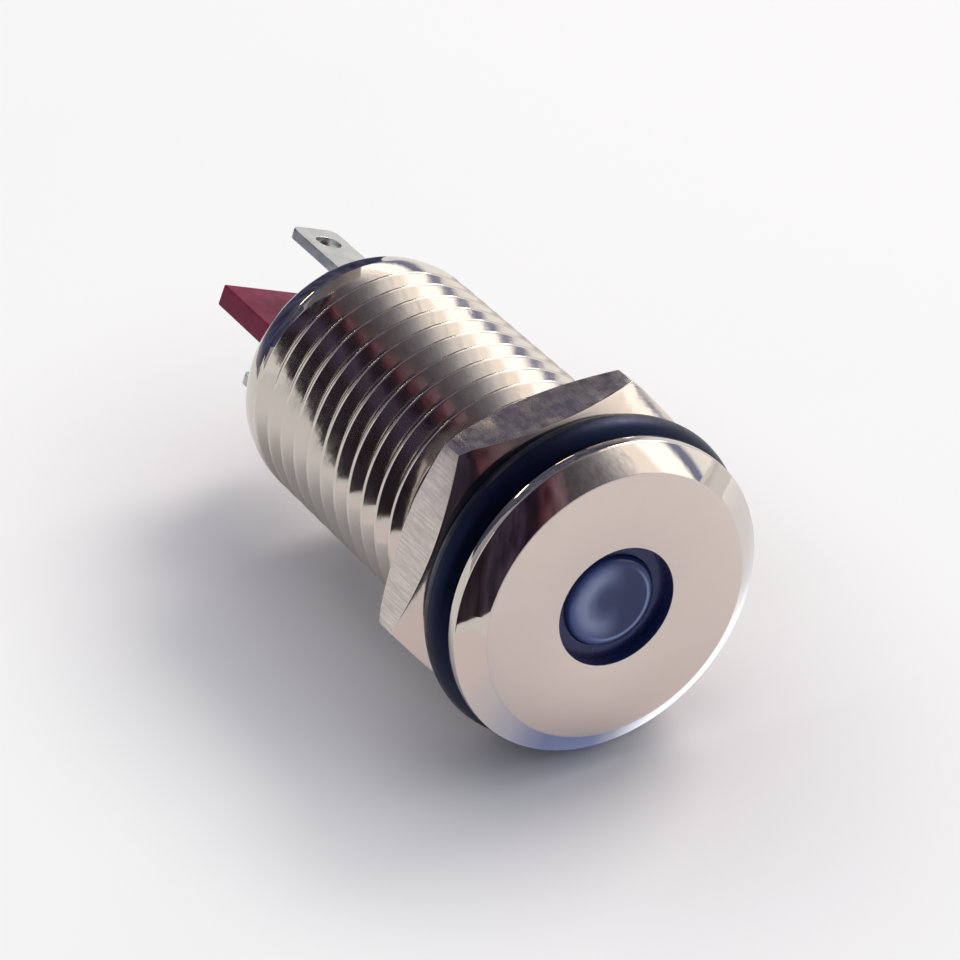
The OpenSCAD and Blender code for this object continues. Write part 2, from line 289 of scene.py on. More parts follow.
# Front: neck, seat, rim, bevel, face, recess and window, then the wall inside
open_edges(THREAD_FRONT, bush.data)
bpy.ops.mesh.extrude_edges_move(TRANSFORM_OT_translate={"value": (0, -LEAD_OUT, 0)})
to_circle(SMOOTH_R, THREAD_FRONT - LEAD_OUT, bush.data)
front_rings = [
    (NECK_R, NECK_Y),
    (NECK_R, 0),
    (HEAD_R, 0),
    (HEAD_R, RIM_Y),
    (FACE_R, FACE_Y),
    (RECESS_R, FACE_Y),
    (RECESS_R, RECESS_Y),
    (WINDOW_R, RECESS_Y),
    (WINDOW_R, WALL_Y),
    (BORE_R, WALL_Y),
    (BORE_R, BORE_MEET_FRONT),
]
carry_on(SMOOTH_R, THREAD_FRONT - LEAD_OUT, front_rings)
join_open_ends(bush.data)
soften(bush.data, BEVEL_EDGE, 3, [(HEAD_R, RIM_Y), (FACE_R, FACE_Y)])
soften(bush.data, SEAT_EDGE, 2, [(HEAD_R, 0)])
soften(bush.data, HOLE_EDGE, 2, [(RECESS_R, FACE_Y), (WINDOW_R, RECESS_Y)])
soften(bush.data, MOUTH_EDGE, 2, [(BORE_R, BARREL_Y)])
bpy.ops.object.mode_set(mode="OBJECT")
to_metres(bush)


def linear(hex_colour):
    """An sRGB hex colour as the linear numbers that a shader takes."""
    channels = [int(hex_colour[i : i + 2], 16) / 255 for i in (1, 3, 5)]
    return [
        c / 12.92 if c <= 0.04045 else ((c + 0.055) / 1.055) ** 2.4 for c in channels
    ] + [1.0]


def add(tree, kind, settings=None, inputs=None, links=None):
    """Adds a node: its properties, the values of its inputs, and links into it."""
    node = tree.nodes.new("ShaderNode" + kind)
    for name, value in (settings or {}).items():
        setattr(node, name, value)
    for name, value in (inputs or {}).items():
        node.inputs[name].default_value = value
    for name, (source, output) in (links or {}).items():
        tree.links.new(source.outputs[output], node.inputs[name])
    return node


def new_material(name, base, metallic, roughness, **shader_inputs):
    """A material with its main shader and a coordinate node to hang patterns on."""
    material = bpy.data.materials.new(name)
    material.use_nodes = True
    tree = material.node_tree
    shader = tree.nodes["Principled BSDF"]
    shader.inputs["Base Color"].default_value = linear(base)
    shader.inputs["Metallic"].default_value = metallic
    shader.inputs["Roughness"].default_value = roughness
    for socket, value in shader_inputs.items():
        shader.inputs[socket.replace("_", " ")].default_value = value
    place = add(tree, "TexCoord")
    return material, tree, shader, place


def vary_roughness(tree, shader, place, size, low, high):
    """Roughness that drifts between two values in patches of a real size in mm."""
    cloud = add(
        tree, "TexNoise", inputs={"Scale": 1 / (size * MM), "Detail": 3.0},
        links={"Vector": (place, "Object")},
    )
    span = add(
        tree, "MapRange",
        inputs={"From Min": 0.3, "From Max": 0.7, "To Min": low, "To Max": high},
        links={"Value": (cloud, "Fac")},
    )
    tree.links.new(span.outputs["Result"], shader.inputs["Roughness"])


def tint(tree, shader, pattern, output, first, second, low=0.3, high=0.7):
    """Base colour that moves between two hex colours as a pattern rises."""
    ramp = add(tree, "ValToRGB", links={"Fac": (pattern, output)})
    ramp.color_ramp.elements[0].position = low
    ramp.color_ramp.elements[0].color = linear(first)
    ramp.color_ramp.elements[1].position = high
    ramp.color_ramp.elements[1].color = linear(second)
    tree.links.new(ramp.outputs["Color"], shader.inputs["Base Color"])


def relief(tree, shader, pattern, output, depth):
    """Bump of a real depth in mm; a second call stacks on the first."""
    bump = add(
        tree, "Bump", inputs={"Strength": 1.0, "Distance": depth * MM},
        links={"Height": (pattern, output)},
    )
    before = shader.inputs["Normal"].links
    if before:
        tree.links.new(before[0].from_socket, bump.inputs["Normal"])
    tree.links.new(bump.outputs["Normal"], shader.inputs["Normal"])


def noise(tree, place, size, detail=3.0, stretch=(1, 1, 1)):
    """Noise whose grains have a real size in mm, stretched along an axis if asked."""
    mapping = add(
        tree, "Mapping",
        inputs={"Scale": [part / (size * MM) for part in stretch]},
        links={"Vector": (place, "Object")},
    )
    return add(
        tree, "TexNoise", inputs={"Scale": 1.0, "Detail": detail},
        links={"Vector": (mapping, "Vector")},
    )


# Polished nickel plate: a warm mirror, a little wavy, with slight smears
nickel_bright, tree, shader, place = new_material(
    "nickel_polished", "#c9c1b8", 1.0, 0.05
)
vary_roughness(tree, shader, place, 1.5, 0.03, 0.08)
relief(tree, shader, noise(tree, place, 0.8, 2.0), "Fac", 0.004)

# Lapped nickel plate: satin, a fine grain in which nothing is mirrored sharply
nickel_satin, tree, shader, place = new_material("nickel_lapped", "#d6c9c1", 1.0, 0.32)
vary_roughness(tree, shader, place, 0.9, 0.29, 0.36)
relief(tree, shader, noise(tree, place, 0.09, 2.0), "Fac", 0.0006)

# Nickel plate over a cut thread: bright, a little wavy, with a few tool lines
nickel_thread, tree, shader, place = new_material("nickel_thread", "#c9c1b8", 1.0, 0.1)
vary_roughness(tree, shader, place, 0.6, 0.07, 0.14)
relief(tree, shader, noise(tree, place, 0.5, 2.0), "Fac", 0.004)
relief(
    tree, shader, noise(tree, place, 0.14, 1.0, stretch=(0.1, 1, 0.1)), "Fac", 0.0008
)

# Recess round the lens: a glossy dark navy, the shade of the recess painted into its colour
recess_black, tree, shader, place = new_material(
    "recess_painted_shade", "#232c58", 0.3, 0.25
)
vary_roughness(tree, shader, place, 0.5, 0.2, 0.35)
relief(tree, shader, noise(tree, place, 0.25, 2.0), "Fac", 0.004)

# The lapping covers the flat face. The painted shade reaches a little past the edge of the recess
# and a short way into the window. The thread's flanks are all that lies outside the bore between
# its two ends
BLACK_PAST = 0.05
BLACK_DEPTH = 0.3
FACE_SLACK = 0.01
FLANK_R = NECK_R - 0.5
for material in (nickel_bright, nickel_satin, nickel_thread, recess_black):
    bush.data.materials.append(material)
for face in bush.data.polygons:
    out = math.hypot(face.center.x, face.center.z) / MM
    along = face.center.y / MM
    in_recess = out < RECESS_R + BLACK_PAST
    if along < FACE_Y + FACE_SLACK and out < FACE_R and not in_recess:
        face.material_index = 1
    elif in_recess and along < RECESS_Y + BLACK_DEPTH:
        face.material_index = 3
    elif THREAD_FRONT < along < THREAD_REAR and out > FLANK_R:
        face.material_index = 2
    else:
        face.material_index = 0
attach(bush, "lamp")
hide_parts("housing")

# ---------------------------------------------------------------------------
# Gasket: a washer cut from silicone rubber sheet, squeezed between the front
# wall and the lens's flange to keep water out. The cut leaves a matt edge.
def dress(node, material):
    """Gives a CAD node its real surface."""
    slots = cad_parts[node].data.materials
    slots.clear()
    slots.append(material)


silicone, tree, shader, place = new_material("silicone_sheet", "#2b2b30", 0.0, 0.6)
vary_roughness(tree, shader, place, 0.2, 0.5, 0.7)
relief(tree, shader, noise(tree, place, 0.12), "Fac", 0.004)
dress("lens_gasket", silicone)

# ---------------------------------------------------------------------------
# Lens: moulded polycarbonate, tinted blue and slightly milky so that it glows
# evenly. Its front is dished inside a round rim, and the diode's holder presses
# its flange onto the gasket.
LENS_STEM_R = 1.72
LENS_STEM_Y = -0.59
LENS_RIM_R = 1.42
LENS_RIM_Y = -0.832
LENS_DISH_Y = -0.702
LENS_FLANGE_R = 2.6
LENS_FLANGE_FRONT = 1.5
LENS_FLANGE_BACK = 2.2
LENS_SIDES = 96
DISH_HANDLES = (0.72, LENS_DISH_Y), (1.18, LENS_RIM_Y)
RIM_HANDLES = (1.505, LENS_RIM_Y), (LENS_STEM_R, -0.825)
lens_middle = (0.04, LENS_DISH_Y)
lens_rim = (LENS_RIM_R, LENS_RIM_Y)
lens_stem = (LENS_STEM_R, LENS_STEM_Y)
lens_front = [lens_middle]
lens_front += curved(lens_middle, *DISH_HANDLES, lens_rim, 10)
lens_front += curved(lens_rim, *RIM_HANDLES, lens_stem, 6)
# The flange's back face closes towards the axis in two steps
lens_back = [
    (LENS_STEM_R, LENS_FLANGE_FRONT),
    (LENS_FLANGE_R, LENS_FLANGE_FRONT),
    (LENS_FLANGE_R, LENS_FLANGE_BACK),
    (1.2, LENS_FLANGE_BACK),
    (0.1, LENS_FLANGE_BACK),
]


def turned_piece(name, sides, rings):
    """A turned piece: a small circle carried out, back and in again, poles closed."""
    nothing_selected()
    radius, start = rings[0]
    bpy.ops.mesh.primitive_circle_add(
        vertices=sides, radius=radius, fill_type="NOTHING",
        location=(0, start, 0), rotation=(math.radians(90), 0, 0),
    )
    piece = bpy.context.object
    piece.name = name
    bpy.ops.object.transform_apply(location=True, rotation=True, scale=True)
    bpy.ops.object.mode_set(mode="EDIT")
    bpy.ops.mesh.select_mode(type="EDGE")
    bpy.ops.mesh.select_all(action="SELECT")
    carry_on(radius, start, rings[1:])
    for pole in (start, rings[-1][1]):
        open_edges(pole, piece.data)
        bpy.ops.mesh.select_mode(type="VERT")
        bpy.ops.mesh.merge(type="CENTER")
    bpy.ops.object.mode_set(mode="OBJECT")
    return piece


lens = turned_piece("lens_moulded", LENS_SIDES, lens_front + lens_back)
to_metres(lens, 50)


def about_axis(tree, place):
    """Distance from the light's axis, in metres, as a node's Value output."""
    flat = add(
        tree, "VectorMath", {"operation": "MULTIPLY"}, inputs={1: (1.0, 0.0, 1.0)},
        links={0: (place, "Object")},
    )
    return add(tree, "VectorMath", {"operation": "LENGTH"}, links={0: (flat, "Vector")})


# Polycarbonate: polished like glass. Its base colour holds painted light: a pale ring round a
# centre in painted shade, shown on the left side only, while the right side keeps a dark painted
# shade as if the recess wall shaded it
lens_clear, tree, shader, place = new_material(
    "polycarbonate_blue", "#67789c", 0.0, 0.18, IOR=1.58, Specular_IOR_Level=0.3
)
# Centre of the painted ring of light, a little off the axis
LIGHT_RING_CENTRE = Vector((-0.14, 0.0, 0.1)) * MM
RING_WOBBLE = 0.12
off_axis = add(
    tree, "VectorMath", {"operation": "SUBTRACT"}, inputs={1: LIGHT_RING_CENTRE},
    links={0: (place, "Object")},
)
flat = add(
    tree, "VectorMath", {"operation": "MULTIPLY"}, inputs={1: (1.0, 0.0, 1.0)},
    links={0: (off_axis, "Vector")},
)
radial = add(tree, "VectorMath", {"operation": "LENGTH"}, links={0: (flat, "Vector")})
wobble = noise(tree, place, 0.5, 3.0)
shift = add(
    tree, "MapRange", inputs={"To Min": -RING_WOBBLE * MM, "To Max": RING_WOBBLE * MM},
    links={"Value": (wobble, "Fac")},
)
reach = add(
    tree, "Math", {"operation": "ADD"},
    links={0: (radial, "Value"), 1: (shift, "Result")},
)
across = add(
    tree, "MapRange", inputs={"From Max": LENS_STEM_R * MM},
    links={"Value": (reach, "Value")},
)
painted_light_ring = add(tree, "ValToRGB", links={"Fac": (across, "Result")})
painted_light_ring.color_ramp.elements[0].color = linear("#343f70")
painted_light_ring.color_ramp.elements[1].color = linear("#4a5a90")
for spot, colour in (
    (0.2, "#3c4876"), (0.38, "#65749c"), (0.52, "#8a97b8"), (0.66, "#8290b2"),
    (0.8, "#586899"), (0.9, "#46548a"),
):
    painted_light_ring.color_ramp.elements.new(spot).color = linear(colour)
# Painted light and shade: the ring shows on the left side, and the right side gets the dark
# colour below as painted shade
towards = add(
    tree, "VectorMath", {"operation": "DOT_PRODUCT"}, inputs={1: (-0.93, 0.0, 0.1)},
    links={0: (flat, "Vector")},
)
painted_lit_side = add(
    tree, "MapRange", {"interpolation_type": "SMOOTHSTEP"},
    inputs={"From Min": -0.7 * MM, "From Max": 0.6 * MM},
    links={"Value": (towards, "Value")},
)
blend = add(
    tree, "Mix", {"data_type": "RGBA"},
    links={"Factor": (painted_lit_side, "Result"), "B": (painted_light_ring, "Color")},
)
blend.inputs["A"].default_value = linear("#283463")

# Painted highlight: a thin pale arc on the round rim of the dish, at its lower right
ARC_R = 1.43
ARC_WIDTH = 0.09
from_rim = add(
    tree, "Math", {"operation": "SUBTRACT"}, inputs={1: ARC_R * MM},
    links={0: (about_axis(tree, place), "Value")},
)
off_rim = add(tree, "Math", {"operation": "ABSOLUTE"}, links={0: (from_rim, "Value")})
rim = add(
    tree, "MapRange", {"interpolation_type": "SMOOTHSTEP"},
    inputs={"From Min": ARC_WIDTH * MM, "From Max": 0.0},
    links={"Value": (off_rim, "Value")},
)
aside = add(
    tree, "VectorMath", {"operation": "DOT_PRODUCT"}, inputs={1: (0.75, 0.0, -0.65)},
    links={0: (place, "Object")},
)
lower_right = add(
    tree, "MapRange", {"interpolation_type": "SMOOTHSTEP"},
    inputs={"From Min": -0.3 * MM, "From Max": 0.9 * MM},
    links={"Value": (aside, "Value")},
)
arc = add(
    tree, "Math", {"operation": "MULTIPLY"},
    links={0: (rim, "Result"), 1: (lower_right, "Result")},
)
lit = add(
    tree, "Mix", {"data_type": "RGBA"},
    links={"Factor": (arc, "Value"), "A": (blend, "Result")},
)
lit.inputs["B"].default_value = linear("#8797c2")
tree.links.new(lit.outputs["Result"], shader.inputs["Base Color"])
vary_roughness(tree, shader, place, 0.4, 0.12, 0.26)
relief(tree, shader, noise(tree, place, 0.3, 2.0), "Fac", 0.006)
lens.data.materials.append(lens_clear)
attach(lens, "lamp")
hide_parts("lens")

# ---------------------------------------------------------------------------
# Lamp: a 3 mm light-emitting diode. Its chip sits in a reflector cup pressed
# into one of two stamped and tinned steel leads, all cast in clear epoxy.

# Cast epoxy: clear as glass, with the faint ripple of its mould
epoxy_clear, tree, shader, place = new_material(
    "epoxy_clear", "#e4ecf6", 0.0, 0.04, IOR=1.54, Transmission_Weight=0.9
)
vary_roughness(tree, shader, place, 0.6, 0.02, 0.08)
relief(tree, shader, noise(tree, place, 0.5), "Fac", 0.002)
dress("led_body", epoxy_clear)

# Crystal: sawn to a small block and polished, a clouded yellow
crystal, tree, shader, place = new_material("crystal_chip", "#d8c04a", 0.0, 0.35)
tint(tree, shader, noise(tree, place, 0.04), "Fac", "#c9ad35", "#eadb86")
dress("led_chip", crystal)

# Tinned steel: bright, with faint lines along the stamped strip
tinned_steel, tree, shader, place = new_material("tinned_steel", "#c9cbcd", 1.0, 0.25)
vary_roughness(tree, shader, place, 0.15, 0.18, 0.34)
relief(tree, shader, noise(tree, place, 0.08, 2.0, stretch=(1, 0.1, 1)), "Fac", 0.001)
dress("anode_lead", tinned_steel)
dress("cathode_lead", tinned_steel)

# ---------------------------------------------------------------------------
# Holder: a black nylon tube, moulded with a spark-eroded grain, that is pushed
# into the bore behind the lens and keeps the diode on the axis.
nylon, tree, shader, place = new_material("nylon_black", "#17171a", 0.0, 0.55)
vary_roughness(tree, shader, place, 0.3, 0.48, 0.62)
relief(tree, shader, noise(tree, place, 0.07), "Fac", 0.004)
dress("led_holder", nylon)

# ---------------------------------------------------------------------------
# Sleeve: amber polyester film rolled into a tube, slid in so that no joint of
# the board can touch the metal barrel. Drawn film has faint lines along it.
film, tree, shader, place = new_material("polyester_film", "#c9b98c", 0.0, 0.22)
tint(tree, shader, noise(tree, place, 0.4), "Fac", "#c2b083", "#d2c49b")
relief(tree, shader, noise(tree, place, 0.1, 2.0, stretch=(1, 0.05, 1)), "Fac", 0.002)
dress("insulating_sleeve", film)

# ---------------------------------------------------------------------------
# Board: woven glass and epoxy under green solder mask. The weave shows through
# the mask as a fine square relief.
mask, tree, shader, place = new_material("solder_mask_green", "#1f5a33", 0.0, 0.3)
tint(tree, shader, noise(tree, place, 0.5), "Fac", "#1b5230", "#256a3c")
# Spacing of the threads. At a scale of 1, a wave texture repeats every 0.314 units
WEAVE = 0.35
WAVE_LENGTH = 0.314
for bands in ("X", "Z"):
    weave = add(
        tree, "TexWave", {"bands_direction": bands},
        inputs={"Scale": WAVE_LENGTH / (WEAVE * MM), "Distortion": 0.0},
        links={"Vector": (place, "Object")},
    )
    relief(tree, shader, weave, "Fac", 0.003)
dress("circuit_board", mask)

# ---------------------------------------------------------------------------
# Series resistor and blocking diode: a glazed ceramic chip with plated ends,
# and a diode moulded in black epoxy with the usual pale band at its cathode.

# Half the length of the bare ceramic, and where the diode's band starts
CERAMIC_HALF = 0.66
BAND_FROM = 0.5
TERMINAL_TURN = math.radians(21.7)


def along_row(tree, place):
    """Distance in metres from the middle of the board's parts, along their length."""
    return add(
        tree, "VectorMath", {"operation": "DOT_PRODUCT"},
        inputs={1: (math.cos(TERMINAL_TURN), 0.0, -math.sin(TERMINAL_TURN))},
        links={0: (place, "Object")},
    )


# Glazed ceramic: glossy black, with plated metal over both ends
glaze, tree, shader, place = new_material("ceramic_glazed", "#1a1a1e", 0.0, 0.2)
span = add(
    tree, "Math", {"operation": "ABSOLUTE"},
    links={0: (along_row(tree, place), "Value")},
)
ends = add(
    tree, "MapRange",
    inputs={"From Min": CERAMIC_HALF * MM, "From Max": (CERAMIC_HALF + 0.03) * MM},
    links={"Value": (span, "Value")},
)
tint(tree, shader, ends, "Result", "#1a1a1e", "#c4c6c8", 0.4, 0.6)
tree.links.new(ends.outputs["Result"], shader.inputs["Metallic"])
relief(tree, shader, noise(tree, place, 0.15), "Fac", 0.003)
dress("series_resistor", glaze)

# Moulded epoxy: half matt and finely grained, with a printed band
moulded_epoxy, tree, shader, place = new_material("epoxy_moulded", "#1c1c1c", 0.0, 0.5)
band = add(
    tree, "MapRange",
    inputs={"From Min": BAND_FROM * MM, "From Max": (BAND_FROM + 0.02) * MM},
    links={"Value": (along_row(tree, place), "Value")},
)
tint(tree, shader, band, "Result", "#1c1c1c", "#b9b9b4", 0.4, 0.6)
relief(tree, shader, noise(tree, place, 0.06), "Fac", 0.004)
dress("blocking_diode", moulded_epoxy)

# ---------------------------------------------------------------------------
# Solder: tin alloy, melted on by hand. It freezes bright with dull patches and
# small ripples.
solder, tree, shader, place = new_material("solder_bright", "#c3c6c9", 1.0, 0.25)
vary_roughness(tree, shader, place, 0.15, 0.15, 0.45)
relief(tree, shader, noise(tree, place, 0.12), "Fac", 0.01)
for node in ("chip_solder", "lead_solder", "lug_solder"):
    dress(node, solder)

# ---------------------------------------------------------------------------
# Solder lugs: stamped from 0.4 mm brass sheet and tin plated. The stamp rounds
# their edges a little, and each has a hole to hook a wire through.
def eased_copy(node, name, width, sharp_from):
    """A copy of a CAD node with its sharp edges eased by a width in mm."""
    nothing_selected()
    piece = bpy.data.objects.new(name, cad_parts[node].data.copy())
    piece.data.materials.clear()
    bpy.context.collection.objects.link(piece)
    edit(piece)
    bpy.ops.mesh.select_all(action="SELECT")
    bpy.ops.mesh.remove_doubles(threshold=1e-7)
    bpy.ops.mesh.dissolve_limited(angle_limit=math.radians(0.5))
    bpy.ops.object.mode_set(mode="OBJECT")
    apply_modifier(
        piece, "BEVEL", width=width * MM, segments=2, limit_method="ANGLE",
        angle_limit=math.radians(sharp_from),
    )
    shade(piece, sharp_from)
    return piece


# Tin plate: a soft bright grey, with lines along the rolled sheet and a slight ripple
tin_plate, tree, shader, place = new_material("tin_plate", "#c8cbca", 1.0, 0.3)
vary_roughness(tree, shader, place, 0.5, 0.24, 0.4)
tint(tree, shader, noise(tree, place, 0.7), "Fac", "#bcc0bf", "#d4d6d4")
relief(tree, shader, noise(tree, place, 0.1, 2.0, stretch=(1, 0.08, 1)), "Fac", 0.0015)
relief(tree, shader, noise(tree, place, 0.6, 2.0), "Fac", 0.006)
for node, name in (("positive_lug", "lug_upper"), ("negative_lug", "lug_lower")):
    lug = eased_copy(node, name, 0.05, 40)
    lug.data.materials.append(tin_plate)
    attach(lug, "lamp")
    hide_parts(node)

# ---------------------------------------------------------------------------
# Terminal base: a plug of crimson polyester, moulded in one piece with the
# barrier that stands between the lugs. It closes the barrel and holds the lugs.
base = eased_copy("terminal_base", "base_moulded", 0.06, 40)

# Filled polyester: half matt from its mould, its colour a little uneven
crimson, tree, shader, place = new_material(
    "polyester_crimson", "#7a1438", 0.0, 0.5, Specular_IOR_Level=0.3
)
vary_roughness(tree, shader, place, 0.5, 0.42, 0.56)
tint(tree, shader, noise(tree, place, 0.8), "Fac", "#741236", "#86183f")
relief(tree, shader, noise(tree, place, 0.08), "Fac", 0.003)
relief(tree, shader, noise(tree, place, 0.9, 2.0), "Fac", 0.01)
base.data.materials.append(crimson)
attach(base, "lamp")
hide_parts("terminal_base")

# ---------------------------------------------------------------------------
# Sealing resin: dark epoxy poured in behind the plug. It sets glossy and slightly
# wavy, a little inside the barrel's rear edge.
resin, tree, shader, place = new_material("epoxy_cast_dark", "#241f1c", 0.0, 0.18)
vary_roughness(tree, shader, place, 0.7, 0.12, 0.3)
relief(tree, shader, noise(tree, place, 1.2, 2.0), "Fac", 0.03)
dress("sealing_resin", resin)

# ---------------------------------------------------------------------------
# Sealing ring: moulded nitrile rubber, pushed over the thread onto the neck.
# The two halves of its mould leave a fine parting line round the outside.
RING_MID_R = 5.49
RING_MID_Y = 0.96
RING_SECTION_R = 0.75
PARTING_R = RING_MID_R + RING_SECTION_R
PARTING_WIDTH = 0.035
PARTING_LIFT = 1.0015
nothing_selected()
bpy.ops.mesh.primitive_torus_add(
    major_radius=RING_MID_R, minor_radius=RING_SECTION_R,
    major_segments=144, minor_segments=40,
    location=(0, RING_MID_Y, 0), rotation=(math.radians(90), 0, 0),
)
ring = bpy.context.object
ring.name = "sealing_ring_moulded"
bpy.ops.object.transform_apply(location=True, rotation=True, scale=True)
edit(ring)
soften(ring.data, PARTING_WIDTH, 2, [(PARTING_R, RING_MID_Y)])
ring_edges(ring.data, [(PARTING_R, RING_MID_Y)])
bpy.ops.transform.resize(
    value=(PARTING_LIFT, 1, PARTING_LIFT), center_override=(0, RING_MID_Y, 0)
)
bpy.ops.object.mode_set(mode="OBJECT")
to_metres(ring, 60)

# Nitrile rubber: near black, a soft gloss from the polished mould, its reflections tinted blue as
# a painted blue sheen
rubber, tree, shader, place = new_material(
    "nitrile_rubber", "#070a17", 0.0, 0.4, Specular_Tint=linear("#5c76c8")
)
vary_roughness(tree, shader, place, 0.4, 0.32, 0.46)
relief(tree, shader, noise(tree, place, 0.15), "Fac", 0.002)
ring.data.materials.append(rubber)
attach(ring, "lamp")
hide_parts("sealing_ring")

# ---------------------------------------------------------------------------
# Mounting nut: a thin hex nut milled from brass bar and plated, bevelled at
# both faces. Its flats keep the marks of the mill. It runs along the thread.
NUT_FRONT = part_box("mounting_nut")[0].y / MM
NUT_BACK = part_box("mounting_nut")[1].y / MM
NUT_FLAT = 6.0
NUT_FACE_R = 5.8
NUT_BEVEL = math.radians(30)
NUT_BORE_R = 5.02
NUT_THREAD_DEPTH = 0.28
# Depth and width of the bore's lead-in, and the short stretch that trues the thread's
# cut end up to a circle before it
NUT_LEAD_IN = 0.3
NUT_TRUE_UP = 0.02
# Radius of the round blank, which clears the flats until they are milled
NUT_BLANK_R = NUT_FLAT + 0.5
NUT_EDGE = 0.045
NUT_TURN = 66.9
NUT_SIDES = 96


def flat_reach(angle):
    """Distance from the axis to the hexagon, by the angle from +X towards +Z."""
    off = (math.degrees(angle) - NUT_TURN) % 60 - 30
    return NUT_FLAT / math.cos(math.radians(off))


nut_inset = NUT_LEAD_IN + NUT_TRUE_UP
nut = threaded_tube(
    "nut", NUT_BORE_R + NUT_THREAD_DEPTH, NUT_THREAD_DEPTH, NUT_SIDES,
    NUT_FRONT + nut_inset, NUT_BACK - nut_inset, 0.5,
)
edit(nut)

# Both ends of the bore: the lead-in, then the face out to the round blank
for place, outward in ((NUT_FRONT, -1), (NUT_BACK, 1)):
    cut = place - outward * nut_inset
    trued = cut + outward * NUT_TRUE_UP
    open_edges(cut, nut.data)
    bpy.ops.mesh.extrude_edges_move(
        TRANSFORM_OT_translate={"value": (0, outward * NUT_TRUE_UP, 0)}
    )
    to_circle(NUT_BORE_R, trued, nut.data)
    carry_on(
        NUT_BORE_R, trued,
        [(NUT_BORE_R + NUT_LEAD_IN, place), (NUT_FACE_R, place), (NUT_BLANK_R, place)],
    )

# The blank's edges are drawn in to the hexagon, and back from the faces by the bevel
shape = bmesh.from_edit_mesh(nut.data)
for vertex in shape.verts:
    out = math.hypot(vertex.co.x, vertex.co.z)
    if abs(out - NUT_BLANK_R) < 1e-2:
        reach = flat_reach(math.atan2(vertex.co.z, vertex.co.x))
        drop = (reach - NUT_FACE_R) * math.tan(NUT_BEVEL)
        inward = 1 if vertex.co.y < (NUT_FRONT + NUT_BACK) / 2 else -1
        vertex.co.x *= reach / out
        vertex.co.z *= reach / out
        vertex.co.y += inward * drop
bmesh.update_edit_mesh(nut.data)
join_open_ends(nut.data)

# Every sharp edge outside the bore is broken
bpy.ops.mesh.select_all(action="DESELECT")
shape = bmesh.from_edit_mesh(nut.data)
for edge in shape.edges:
    middle = (edge.verts[0].co + edge.verts[1].co) / 2
    outside = math.hypot(middle.x, middle.z) > NUT_BORE_R + NUT_LEAD_IN - 0.01
    edge.select = outside and edge.calc_face_angle(0) > math.radians(25)
bmesh.update_edit_mesh(nut.data)
bpy.ops.mesh.bevel(offset=NUT_EDGE, offset_type="OFFSET", segments=2, affect="EDGES")
bpy.ops.object.mode_set(mode="OBJECT")
to_metres(nut, 25)

# Milled and plated flats: fine marks along the barrel, a few deeper scratches
nut_milled, tree, shader, place = new_material("nickel_milled", "#c4bab4", 1.0, 0.26)
marks = noise(tree, place, 0.07, 3.0, stretch=(1, 0.06, 1))
scores = noise(tree, place, 0.3, 1.0, stretch=(1, 0.12, 1))
tint(tree, shader, marks, "Fac", "#b4aaa5", "#cdc4be", 0.35, 0.65)
vary_roughness(tree, shader, place, 0.4, 0.2, 0.32)
relief(tree, shader, marks, "Fac", 0.0007)
relief(tree, shader, scores, "Fac", 0.0014)

# Turned faces and bevels of the nut: bright, with fine rings round the axis
nut_turned, tree, shader, place = new_material("nickel_turned", "#c4bbb2", 1.0, 0.14)
vary_roughness(tree, shader, place, 0.5, 0.1, 0.2)
RING_SPACING = 0.06
rings = add(
    tree, "TexNoise", {"noise_dimensions": "1D"},
    inputs={"Scale": 1 / (RING_SPACING * MM), "Detail": 1.0},
    links={"W": (about_axis(tree, place), "Value")},
)
relief(tree, shader, rings, "Fac", 0.0015)
nut.data.materials.append(nut_milled)
nut.data.materials.append(nut_turned)
for face in nut.data.polygons:
    turned_face = abs(face.normal.y) > 0.2
    bored = math.hypot(face.center.x, face.center.z) / MM < NUT_BORE_R + NUT_LEAD_IN
    face.material_index = 1 if turned_face or bored else 0
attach(nut, "nut")
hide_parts("mounting_nut")

# ---------------------------------------------------------------------------
# Studio: a pale floor that the light lies on, soft lamps, cards that stand round it
# for the bright metal to mirror, and the camera.
floor_z = cad_low.z - 0.02 * MM
nothing_selected()
bpy.ops.mesh.primitive_circle_add(
    vertices=96, radius=2.0, fill_type="NGON", location=(0, 0, floor_z)
)
floor = bpy.context.object
floor.name = "floor"


def seen(tree, most):
    """A factor that is zero for diffuse light and a given value for what is seen."""
    rays = add(tree, "LightPath")
    first = add(
        tree, "Math", {"operation": "ADD"},
        links={0: (rays, "Is Camera Ray"), 1: (rays, "Is Glossy Ray")},
    )
    every = add(
        tree, "Math", {"operation": "ADD", "use_clamp": True},
        links={0: (first, "Value"), 1: (rays, "Is Transmission Ray")},
    )
    return add(
        tree, "Math", {"operation": "MULTIPLY"}, inputs={1: most},
        links={0: (every, "Value")},
    )


# Paper: matt and plain. Its whitening fades out close to the light, which leaves
# the shadow under it as it falls
FLOOR_LIFT = 0.7
floor_paper, tree, shader, place = new_material("floor_paper", "#f2efed", 0.0, 0.9)
centred = add(
    tree, "Mapping", {"vector_type": "POINT"},
    inputs={"Location": (0, -0.6, 0), "Scale": (100, 65, 0)},
    links={"Vector": (place, "Object")},
)
away = add(tree, "VectorMath", {"operation": "LENGTH"}, links={0: (centred, "Vector")})
fade = add(
    tree, "MapRange", {"interpolation_type": "SMOOTHSTEP"},
    inputs={"From Min": 0.6, "From Max": 1.9}, links={"Value": (away, "Value")},
)
lift = add(
    tree, "Math", {"operation": "MULTIPLY"},
    links={0: (seen(tree, FLOOR_LIFT), "Value"), 1: (fade, "Result")},
)
glow = add(tree, "Emission", inputs={"Color": (1, 1, 1, 1), "Strength": 1.0})
mixed = add(
    tree, "MixShader",
    links={"Fac": (lift, "Value"), 1: (shader, "BSDF"), 2: (glow, "Emission")},
)
tree.links.new(mixed.outputs["Shader"], tree.nodes["Material Output"].inputs["Surface"])
floor.data.materials.append(floor_paper)

